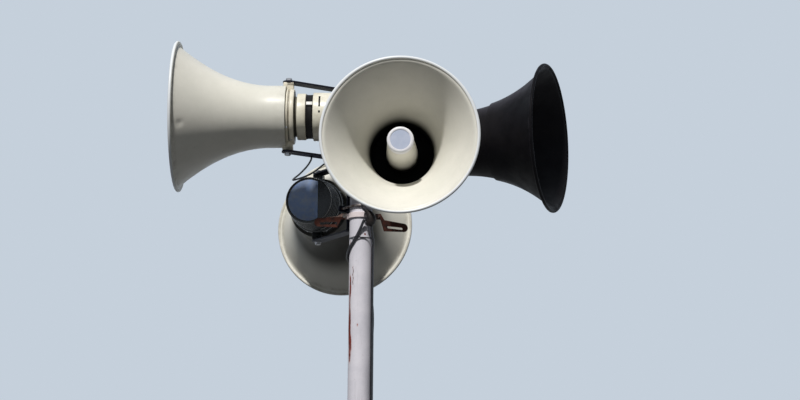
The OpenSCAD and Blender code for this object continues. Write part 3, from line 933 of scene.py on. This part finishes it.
def nose_cap(horn):
    """A shallow dish: short skirt, round edge, raised rim, and behind it a face with a plain grey disc."""
    edge = 0.006
    skirt_back = bullet_front - cap_skirt
    skirt_r = cup_front_r + 0.0022
    rim_r = skirt_r - edge
    profile = [(skirt_back - bullet_front, cup_r(skirt_back) + 0.0001), (skirt_back - bullet_front, skirt_r),
               (-edge, skirt_r)]
    profile += arc(-edge, rim_r, edge, 80, 5, 8) + arc(-0.0006, rim_r - 0.0030, 0.0006, 0, -60, 3)
    profile += [(-0.0022, rim_r - 0.0042), (-0.0016, 0.016), (-0.0013, 0.0), (-0.0030, 0.0),
                (-nose_edge, cup_front_r - 0.0005)]
    on_horn("nose_cap", horn, shifted(spin(profile, 96), x=bullet_front), *coat("cap", horn))
    disc = spin([(-0.0021, 0.0315), (-0.0014, 0.0308), (-0.0010, 0.0)], 72, closed=False)
    on_horn("nose_disc", horn, shifted(disc, x=bullet_front), *coat("disc", horn))


for horn in HORNS:
    bullet(horn)
    nose_cap(horn)

# %% [markdown]
# ## The ring castings
# The horn is carried by a ring casting behind the neck. It has a round bead in front, a crowned band, and a
# narrower boss at the back that lies in shadow. Above and below, an ear block reaches forward over the neck
# and takes the pivot bolt. A small round-headed screw shines at the side.

# %% Ring casting
band_crest_r = 0.092
core_r = 0.088
ring_back = -0.022
boss_r = 0.066
boss_back = -0.031
bead_at = 0.0006
ear_w = 0.034
ear_top = 0.1147


def round_screw(radius, height):
    """A round screw head on the X axis: a low dome, standing on x = 0."""
    turn = np.radians(np.linspace(0, 90, 7))
    profile = [(0.0, 0.0), (0.0, radius)] + list(zip(height * np.sin(turn), radius * np.cos(turn)))[1:]
    return spin(profile, 20, closed=False)


def ear(form):
    """A square block beside the casting, and a shallower one in front of it that rests on the neck."""
    rear_len = ring_front + ear_w / 2
    pair = []
    behind, ahead = (rear_len, ring_front - rear_len / 2, core_r - 0.004), (ear_w, 0, form.neck_r - 0.0015)
    for length, x, low in (behind, ahead):
        pair.append(shifted(block((length, ear_w, ear_top - low), 0.0022), x=x, z=(ear_top + low) / 2))
    return join(*pair)


def ring_casting(horn, form):
    """Outline of the casting as (x, r), spun round the horn, with the two ears."""
    outline = [(ring_front, 0.0), (ring_front, core_r - 0.001), (ring_front - 0.001, core_r)]
    outline += arc(bead_at, band_crest_r - 0.0019, 0.0029, -30, 210, 12)
    outline += [(-0.0045, core_r - 0.0016), (-0.0068, core_r - 0.0016), (-0.0080, core_r), (-0.0082, 0.0900)]
    outline += arc(-0.01475, band_crest_r - 0.016, 0.016, 65.6, 114.4, 9)
    outline += [(-0.0214, 0.0900), (-0.0216, core_r), (ring_back, core_r - 0.001),
                (ring_back, boss_r + 0.004)]
    outline += arc(ring_back - 0.004, boss_r + 0.004, 0.004, 0, -90, 5)
    outline += [(boss_back, boss_r), (boss_back, 0.0)]
    ears = ear(form)
    shape = join(spin(outline, 144, closed=False), ears, turned(ears, 180, "X"))
    x, y, z = shape[0].T
    r = np.hypot(y, z)
    # The recess behind the band and the groove go near black: painted shade.
    recess = 0.85 * (x < ring_back + 0.0002) * (r < core_r - 0.0005)
    groove = (np.abs(x + 0.0056) < 0.0016) * (r < core_r) * (r > core_r - 0.003)
    # The dirt mask is stronger in the groove, where it is painted shade, and on the ears.
    grime = 0.25 + 0.5 * smoothstep(0.0035, 0.0010, np.abs(x + 0.0050)) + 0.25 * (np.abs(z) > 0.096)
    masks = {"deep": np.maximum(recess, 0.55 * groove), "grime": grime}
    on_horn("ring_skin", horn, shape, *coat("ring", horn), [horn + "_ring"], masks)


def ring_screws(horn):
    """Round heads on the ring: one pinch screw at the side and a pair beside each ear."""
    spots = [(bead_at, -35, 0.0040, 0.0920), (bead_at, 145, 0.0040, 0.0920), (-0.0148, 68, 0.0028, 0.0918),
             (-0.0148, 112, 0.0028, 0.0918), (-0.0148, -112, 0.0028, 0.0918), (-0.0148, -68, 0.0028, 0.0918)]
    heads = []
    for x, turn, radius, stand_r in spots:
        upright = turned(round_screw(radius, 0.6 * radius), -90, "Y")
        heads.append(shifted(turned(shifted(upright, z=stand_r), turn - 90, "X"), x=x))
    on_horn("ring_screws", horn, join(*heads), BOLT_ZINC, "bolt_steel")


for horn in HORNS:
    ring_casting(horn, DARK_BELL if horn == "right" else LIGHT_BELL)
    ring_screws(horn)

# %% [markdown]
# ## The drivers
# Behind the ring sits the driver, the loud part: a cast drum, a black rubber band, and a cover. Three of
# the horns have a plain enamelled cover with a slot at its side. The rear one is an older make, short and
# wide, with round cooling ribs that grow towards the ring, and its back holds a pale plate with one
# straight edge, which is blank here.

# %% Drum, band and cover
Driver = namedtuple("Driver", "drum_r drum_back band_r band_back cover_r back")
PLAIN = Driver(0.077, -0.0603, 0.074, -0.0843, 0.080, -0.185)
RIBBED = Driver(0.0875, -0.048, 0.078, -0.058, 0.080, -0.133)


def drum(horn, driver):
    """Cast drum with a flat front and round shoulders."""
    edge = 0.003
    outline = [(boss_back, 0.0)] + arc(boss_back - edge, driver.drum_r - edge, edge, 0, 90, 7)
    outline += arc(driver.drum_back + edge, driver.drum_r - edge, edge, 90, 180, 7)
    outline += [(driver.drum_back, 0.0)]
    shape = spin(outline, 120, closed=False)
    x = shape[0][:, 0]
    grime = 0.15 + 0.35 * smoothstep(driver.drum_back + 0.008, driver.drum_back, x)
    on_horn("drum_skin", horn, shape, *coat("drum", horn), [horn + "_drum"], {"grime": grime})


def band(horn, driver):
    """Rubber band: a shallow channel between two low lips."""
    lip = 0.0016
    outline = [(driver.drum_back, 0.0), (driver.drum_back, driver.band_r - lip)]
    outline += arc(driver.drum_back - lip, driver.band_r - lip, lip, 30, 150, 6)
    outline += [(driver.drum_back - 2.4 * lip, driver.band_r - 0.0014), (driver.band_back + 2.4 * lip,
                                                                        driver.band_r - 0.0014)]
    outline += arc(driver.band_back + lip, driver.band_r - lip, lip, 30, 150, 6)
    outline += [(driver.band_back, driver.band_r - lip), (driver.band_back, 0.0)]
    on_horn("band_skin", horn, spin(outline, 120, closed=False), BAND_BLACK, "band_black", [horn + "_band"])


def plain_cover_outline(driver):
    """Outline of an enamelled cover: a front lip, a straight wall, and a dished back with a round edge."""
    edge = 0.008
    outline = [(driver.band_back, 0.0), (driver.band_back, driver.cover_r - 0.0015)]
    outline += arc(driver.band_back - 0.0015, driver.cover_r - 0.0015, 0.0015, 10, 90, 4)
    outline += arc(driver.back + edge, driver.cover_r - edge, edge, 90, 180, 9)
    outline += [(driver.back, 0.064), (driver.back + 0.0015, 0.060), (driver.back + 0.0015, 0.040)]
    return outline + [(driver.back, 0.036), (driver.back, 0.0)]


def ribbed_cover_outline(driver):
    """Outline of the older cover: round ribs whose crests rise by 1.6 mm each, and a flat back with a rim."""
    rib_r, pitch, ribs, valley_r = 0.0046, 0.011, 6, 0.0735
    first = driver.back + 0.0128
    outline = [(driver.band_back, 0.0), (driver.band_back, valley_r)]
    for i in reversed(range(ribs)):
        rib_x, crest = first + i * pitch, driver.cover_r + 0.0005 + 0.0016 * i
        outline += arc(rib_x, crest - rib_r, rib_r, -25, 205, 11)
        outline += [(rib_x - pitch / 2, valley_r)]
    outline += arc(driver.back + 0.006, driver.cover_r - 0.002, 0.002, 0, 90, 4)
    outline += arc(driver.back + 0.002, driver.cover_r - 0.002, 0.002, 90, 180, 5)
    return outline + [(driver.back, 0.0735), (driver.back + 0.0012, 0.0722), (driver.back + 0.0012, 0.0)]


def cover(horn, driver, outline):
    """The driver's cover, spun from its outline."""
    shape = spin(outline, 132, closed=False)
    x = shape[0][:, 0]
    grime = 0.15 + 0.35 * smoothstep(driver.band_back - 0.012, driver.band_back, x)
    on_horn("cover_skin", horn, shape, *coat("cover", horn), [horn + "_cover"], {"grime": grime})


def curved_patch(x_low, x_high, turn_low, turn_high, r_in, r_out, steps=16):
    """A bent plate on a round wall: a rectangle in (x, turn) with its edges cut, between two radii."""
    turn = np.radians(np.linspace(turn_low, turn_high, steps))
    section = [(x_low, r_in), (x_low, r_out - 0.0004), (x_low + 0.0004, r_out), (x_high - 0.0004, r_out),
               (x_high, r_out - 0.0004), (x_high, r_in)]
    x, r = np.array(section).T
    points = np.stack([np.outer(np.ones(steps), x), np.outer(np.cos(turn), r), np.outer(np.sin(turn), r)], -1)
    return grid(capped(points))


def driver_trim(horn, driver):
    """A pale clip on the band, dark slot covers on the side of the cover, and four screws in its back."""
    clip = block((0.021, 0.013, 0.0045), 0.0012)
    clips = [shifted(turned(shifted(clip, z=driver.band_r + 0.0020), turn - 90, "X"), x=-0.0730)
             for turn in (22, 202)]
    on_horn("band_clips", horn, join(*clips), CLIP_WHITE, "driver_cream")
    slots = [curved_patch(-0.109, -0.103, low, high, driver.cover_r - 0.001, driver.cover_r + 0.0004)
             for low, high in ((12, 45), (-3, 2), (192, 225), (177, 182))]
    on_horn("cover_slots", horn, join(*slots), BAND_BLACK, "band_black")
    screw = shifted(turned(round_screw(0.0045, 0.0015), 180, "Z"), x=driver.back + 0.0015, z=0.050)
    back_screws = [turned(screw, 45 + 90 * i, "X") for i in range(4)]
    on_horn("back_screws", horn, join(*back_screws), BOLT_ZINC, "bolt_steel")


def back_plate(horn, driver):
    """The blank plate on the rear driver's back: a disc with one straight edge and a thin raised border."""
    radius, chord, thick = 0.0708, 0.033, 0.0011
    turn = ring_angles(160)
    across = np.cos(turn - np.pi)
    reach = np.where(across > chord / radius, chord / np.maximum(across, 1e-3), radius)
    shrink = np.array([1.0, 1.0, 0.985, 0.975, 0.0])
    lift = np.array([0.0, thick, thick, thick * 0.6, thick * 0.6])
    points = np.stack([np.outer(driver.back + 0.0012 - lift, np.ones(len(turn))),
                       np.outer(shrink, reach * np.cos(turn)), np.outer(shrink, reach * np.sin(turn))], -1)
    middle = np.zeros((1, len(turn), 3))
    middle[..., 0] = driver.back + 0.0012
    on_horn("back_plate", horn, grid(np.concatenate([middle, points])), PLATE_SKY_SHADE, "driver_grey")


for horn in HORNS:
    driver = RIBBED if horn == "rear" else PLAIN
    drum(horn, driver)
    band(horn, driver)
    if horn == "rear":
        cover(horn, driver, ribbed_cover_outline(driver))
        back_plate(horn, driver)
    else:
        cover(horn, driver, plain_cover_outline(driver))
        driver_trim(horn, driver)

# %% [markdown]
# ## Bolts and clamps
# Bolt heads and nuts are hexagons with their corners cut by a cone. A thread is a cylinder whose radius
# depends on how far the turn and the height together have come along one pitch, which gives a real helix
# for the cost of a grid. A U-bolt is a rod bent round the mast, with a thread, a washer and a nut on each
# leg.

# %% Bolts, nuts and threads
def hexagon(flats, height):
    """Hexagon on z = 0: its radius is half the flats over the cosine of the turn folded into 60 degrees."""
    turn = ring_angles(48)
    corner = flats / 2 / np.cos(np.mod(turn, np.pi / 3) - np.pi / 6)
    cut = (corner - flats / 2) * math.tan(math.radians(30)) + 0.0002
    even = 0 * turn
    radius = np.stack([even, corner, corner, even + 0.47 * flats, even + 0.30 * flats, even])
    height_at = np.stack([even, even, height - cut, *[even + height] * 3])
    return grid(np.stack([radius * np.cos(turn), radius * np.sin(turn), height_at], -1))


def washer(radius, thick):
    """Flat washer on z = 0 with a small round edge."""
    edge = 0.0003
    profile = [(0, 0), (0, radius - edge), (edge, radius), (thick - edge, radius), (thick, radius - edge),
               (thick, 0)]
    return turned(spin(profile, 40, closed=False), -90, "Y")


def threaded_rod(radius, pitch, start, end):
    """Rod along Z whose radius dips once a turn: r = R - 0.6 p |2 frac(z/p - turn/2pi) - 1|, p the pitch."""
    turn = ring_angles(24)
    z = np.linspace(start, end, int((end - start) / pitch * 6) + 1)
    phase = np.mod(z[:, None] / pitch - turn / (2 * np.pi), 1)
    r = radius - 0.6 * pitch * np.abs(2 * phase - 1)
    z_all = np.concatenate([[start], z, [end]])
    r_all = np.concatenate([[0 * turn], r, [0 * turn]])
    return grid(np.stack([r_all * np.cos(turn), r_all * np.sin(turn), np.outer(z_all, np.ones(24))], -1))


# %% Pivot bolts and U-bolts
arm_out = 0.121
saddle_out = mast_r + 0.019
ubolt_r = 0.004
leg_y = mast_r + seat + ubolt_r
clamp_pitch = 0.096


def pivot_bolts(horn):
    """Above and below: a shank through the arm, a washer and a hexagon head with a bit of thread past it."""
    one = join(shifted(washer(0.012, 0.002), z=arm_out + seat),
               shifted(hexagon(0.018, 0.0075), z=arm_out + seat + 0.002),
               threaded_rod(0.006, 0.00175, 0.103, arm_out + 0.003))
    on_horn("pivot_heads", horn, join(one, turned(one, 180, "X")), BOLT_ZINC, "bolt_steel",
            [horn + "_pivot_bolts"])


def ubolts(horn):
    """Two rods bent round the mast, with threaded legs, washers and nuts against the saddle plates."""
    bend = np.radians(np.linspace(90, 270, 40))
    straight = np.linspace(saddle_out - 0.008, 0.004, 7)
    path = [(x, leg_y, 0) for x in straight]
    path += list(zip(leg_y * np.cos(bend), leg_y * np.sin(bend), 0 * bend))
    path += [(x, -leg_y, 0) for x in straight[::-1]]
    parts = [tube(path, ubolt_r, 20)]
    for side in (1, -1):
        leg = join(threaded_rod(ubolt_r, 0.00125, saddle_out - 0.009, saddle_out + 0.0123),
                   shifted(washer(0.0075, 0.0014), z=saddle_out + 0.0002),
                   shifted(hexagon(0.013, 0.0065), z=saddle_out + 0.0016))
        parts.append(shifted(turned(leg, 90, "Y"), y=side * leg_y))
    one = join(*parts)
    shape = join(shifted(one, z=clamp_pitch / 2), shifted(one, z=-clamp_pitch / 2))
    piece(f"{horn}_ubolt_rods", moved(shape, yoke_place(horn)), "mast", BOLT_RUSTY,
          [horn + "_ubolts"])


for horn in HORNS:
    pivot_bolts(horn)
    ubolts(horn)
    dress(horn + "_yoke", YOKE_BLACK, 0.0008)

# %% [markdown]
# ## The mast
# The pipe is one long grid of heights and turns. Its paint has peeled in a ragged strip on the left side,
# with a crack beside it and a few loose patches. Each mark is a soft spot in the coordinates of height and
# turn: one over e where the distance, measured in the spot's own width and height, is one. The mask sinks
# the surface by the paint's thickness.

# %% Pipe
mast_top = 3.470
paint_t = 0.00025


def spot(z, turn, centre_z, centre_deg, high, wide_deg):
    """exp(-(dz / high)^2 - (dturn / wide)^2), with the turn's difference taken the short way round."""
    return np.exp(-((z - centre_z) / high) ** 2 - (degrees_from(turn, centre_deg) / wide_deg) ** 2)


def peeled_paint(z, turn):
    """The rust mask: the long strip whose middle wanders, the loose patches, the foot and the top edge."""
    sway = 0.055 * np.sin(23 * z) + 0.03 * np.sin(61 * z + 1) + 0.25 * (2.82 - z) * (z > 2.5)
    across = degrees_from(turn, 206 + np.degrees(sway)) / (17 + 4 * np.sin(17 * z + 2))
    rust = 0.62 * np.exp(-across ** 2) * smoothstep(2.88, 2.80, z) * smoothstep(2.47, 2.56, z)
    rng = np.random.default_rng(11)
    for _ in range(22):
        where_z, where_deg = rng.uniform(0.15, 2.45), rng.uniform(0, 360)
        high, wide = rng.uniform(0.02, 0.10), rng.uniform(5, 14)
        rust = np.maximum(rust, rng.uniform(0.36, 0.50) * spot(z, turn, where_z, where_deg, high, wide))
    for place in ((2.653, 259, 0.010, 9), (2.958, 292, 0.006, 8), (2.93, 205, 0.02, 8)):
        rust = np.maximum(rust, 0.52 * spot(z, turn, *place))
    rust = np.maximum(rust, 0.40 * smoothstep(0.20, 0.02, z))
    return np.maximum(rust, 0.30 * smoothstep(3.43, 3.47, z))


def mast_pipe():
    """Radius 38 mm less the paint's thickness where it has peeled."""
    fine_low, fine_high = 2.40, 3.05
    z = np.concatenate([
        [flange_t], np.linspace(flange_t, fine_low, 200), np.linspace(fine_low, fine_high, 300)[1:],
        np.linspace(fine_high, mast_top, 70)[1:], [mast_top]])
    zz, tt = np.meshgrid(z, ring_angles(120), indexing="ij")
    rust = peeled_paint(zz, tt)
    crack_deg = 231 + 1.6 * np.sin(260 * zz)
    crack = np.exp(-(degrees_from(tt, crack_deg) / 2.6) ** 2)
    crack = crack * smoothstep(2.778, 2.792, zz) * smoothstep(2.862, 2.845, zz)
    rust = np.maximum(rust, 0.75 * crack)
    radius = mast_r - paint_t * smoothstep(0.25, 0.45, rust)
    radius[[0, -1]] = 0
    points = np.stack([radius * np.cos(tt), radius * np.sin(tt), zz], -1)
    piece("mast_pipe_skin", grid(points), "mast", MAST_WHITE, ["mast_pipe"],
          {"rust": rust.ravel(), "crack": crack.ravel()})


mast_pipe()
for name, edge in (("mast_cap", 0.001), ("base_flange", 0.0015), ("base_gussets", 0.001)):
    dress(name, MAST_WHITE, edge)

# %% [markdown]
# ## The strap
# Two half bands are bolted together round the mast. The front one goes on at both sides as a slotted wing
# that hangs below its lug, narrows a little, ends round and is bent back. A wing is drawn as two strips,
# one above and one below a line along the slot. Where there is no slot the strips meet, and at the slot the
# line opens by the slot's half height.

# %% Strap and wings
strap_in_r = mast_r + seat
strap_t = 0.005
strap_h = 0.018
split = 0.001
lug_reach = strap_in_r + strap_t + 0.024
lug_overlap = 0.002
wing_reach = 0.158
wing_h = 0.038
tip_r = 0.014
widening = 0.014
slot_len = 0.060
slot_r = 0.004
slot_low = 0.004


def flat_bar(path, thick, height, edge=0.0008):
    """Flat bar on edge along a path in plan: a rectangle with cut corners, kept square to the path."""
    path = np.asarray(path, float)
    along = directions(path)
    across = np.stack([-along[:, 1], along[:, 0]], -1)
    t, h = thick / 2, height / 2
    section = np.array([(t, edge - h), (t, h - edge), (t - edge, h), (edge - t, h),
                        (-t, h - edge), (-t, edge - h), (edge - t, -h), (t - edge, -h)])
    flat = path[:, None] + across[:, None] * section[None, :, :1]
    return grid(capped(np.concatenate([flat, np.broadcast_to(section[:, 1:], (*flat.shape[:2], 1))], -1)))


def wrap_path():
    """Plan of the front band: a lug, a small bend, the half circle round the pipe, and the same mirrored."""
    middle_r = strap_in_r + strap_t / 2
    middle_y = -split - strap_t / 2
    bend_r = 0.003
    turn_in = np.radians(np.linspace(90, 10, 5))
    bend = [(-middle_r - bend_r + 0.0004 + bend_r * math.cos(a), middle_y - bend_r + bend_r * math.sin(a))
            for a in turn_in]
    around = np.radians(np.linspace(190, 270, 24))
    half = [(-lug_reach, middle_y), (-middle_r - 2 * bend_r, middle_y), *bend,
            *zip(middle_r * np.cos(around), middle_r * np.sin(around))]
    return half + [(-x, y) for x, y in half[-2::-1]]


def wing(side, sweep_deg, drop, edge=0.0008):
    """Slotted plate from the lug's end, on the side of that sign; its outline is (s, z), with s along it."""
    sweep = math.radians(sweep_deg)
    length = (wing_reach - lug_reach) / math.cos(sweep) - tip_r
    slot_from, slot_to = length - slot_len, length - 2 * slot_r
    corner = np.sin(np.radians(np.linspace(-90, 90, 15)))
    s = np.unique(np.concatenate([
        [0, widening], np.linspace(widening, length, 12), length + tip_r * corner[7:],
        slot_from + slot_r * corner[:8], slot_to + slot_r * corner[7:]]))
    cap = np.sqrt(np.clip(tip_r ** 2 - np.clip(s - length, 0, None) ** 2, 0, None))
    share = np.clip((s - widening) / (length - widening), 0, 1)
    half = np.where(s > length, cap, wing_h / 2 + (tip_r - wing_h / 2) * share)
    rise = np.clip(s / widening, 0, 1)
    root = strap_h / 2 - 0.001
    high = (1 - rise) * root + rise * (half - drop)
    low = -(1 - rise) * root - rise * (half + drop)
    line = np.clip(-rise * (drop + slot_low), low, high)
    past_slot = np.clip(np.maximum(slot_from - s, s - slot_to), 0, None)
    open_by = np.sqrt(np.clip(slot_r ** 2 - past_slot ** 2, 0, None))
    t = strap_t / 2
    strips = []
    for inner, outer in ((line + open_by, high), (line - open_by, low)):
        cut = np.clip(outer - inner, -2 * edge, 2 * edge) / 2
        corners = [(-t, inner), (t, inner), (t, outer - cut), (t - edge, outer), (edge - t, outer),
                   (-t, outer - cut)]
        points = np.stack([np.stack([s, 0 * s + y, 0 * s + z], -1) for y, z in corners], 1)
        strips.append(grid(capped(points)))
    swept = turned(join(*strips), sweep_deg, "Z")
    placed = shifted(swept, lug_reach - lug_overlap, -split - t, strap_z)
    return moved(placed, Matrix.Diagonal((side, 1, 1, 1)))


def front_strap():
    """The band and both wings: the left one swept by 10 degrees and 19 mm lower, the right by 28 and 30."""
    wrap = shifted(flat_bar(wrap_path(), strap_t, strap_h), z=strap_z)
    shape = join(wrap, wing(-1, 10, 0.019), wing(1, 28, 0.030))
    piece("slotted_strap", shape, "mast", STRAP_RUST, ["cross_strap"])


front_strap()
dress("back_strap", STRAP_RUST, 0.001)
dress("strap_bolts", BOLT_RUSTY, 0.0005)

# %% [markdown]
# ## Measure and finish
# The number of triangles in the new surfaces is printed.

# %% The triangle count
print("new surfaces:", made["triangles"], "triangles")
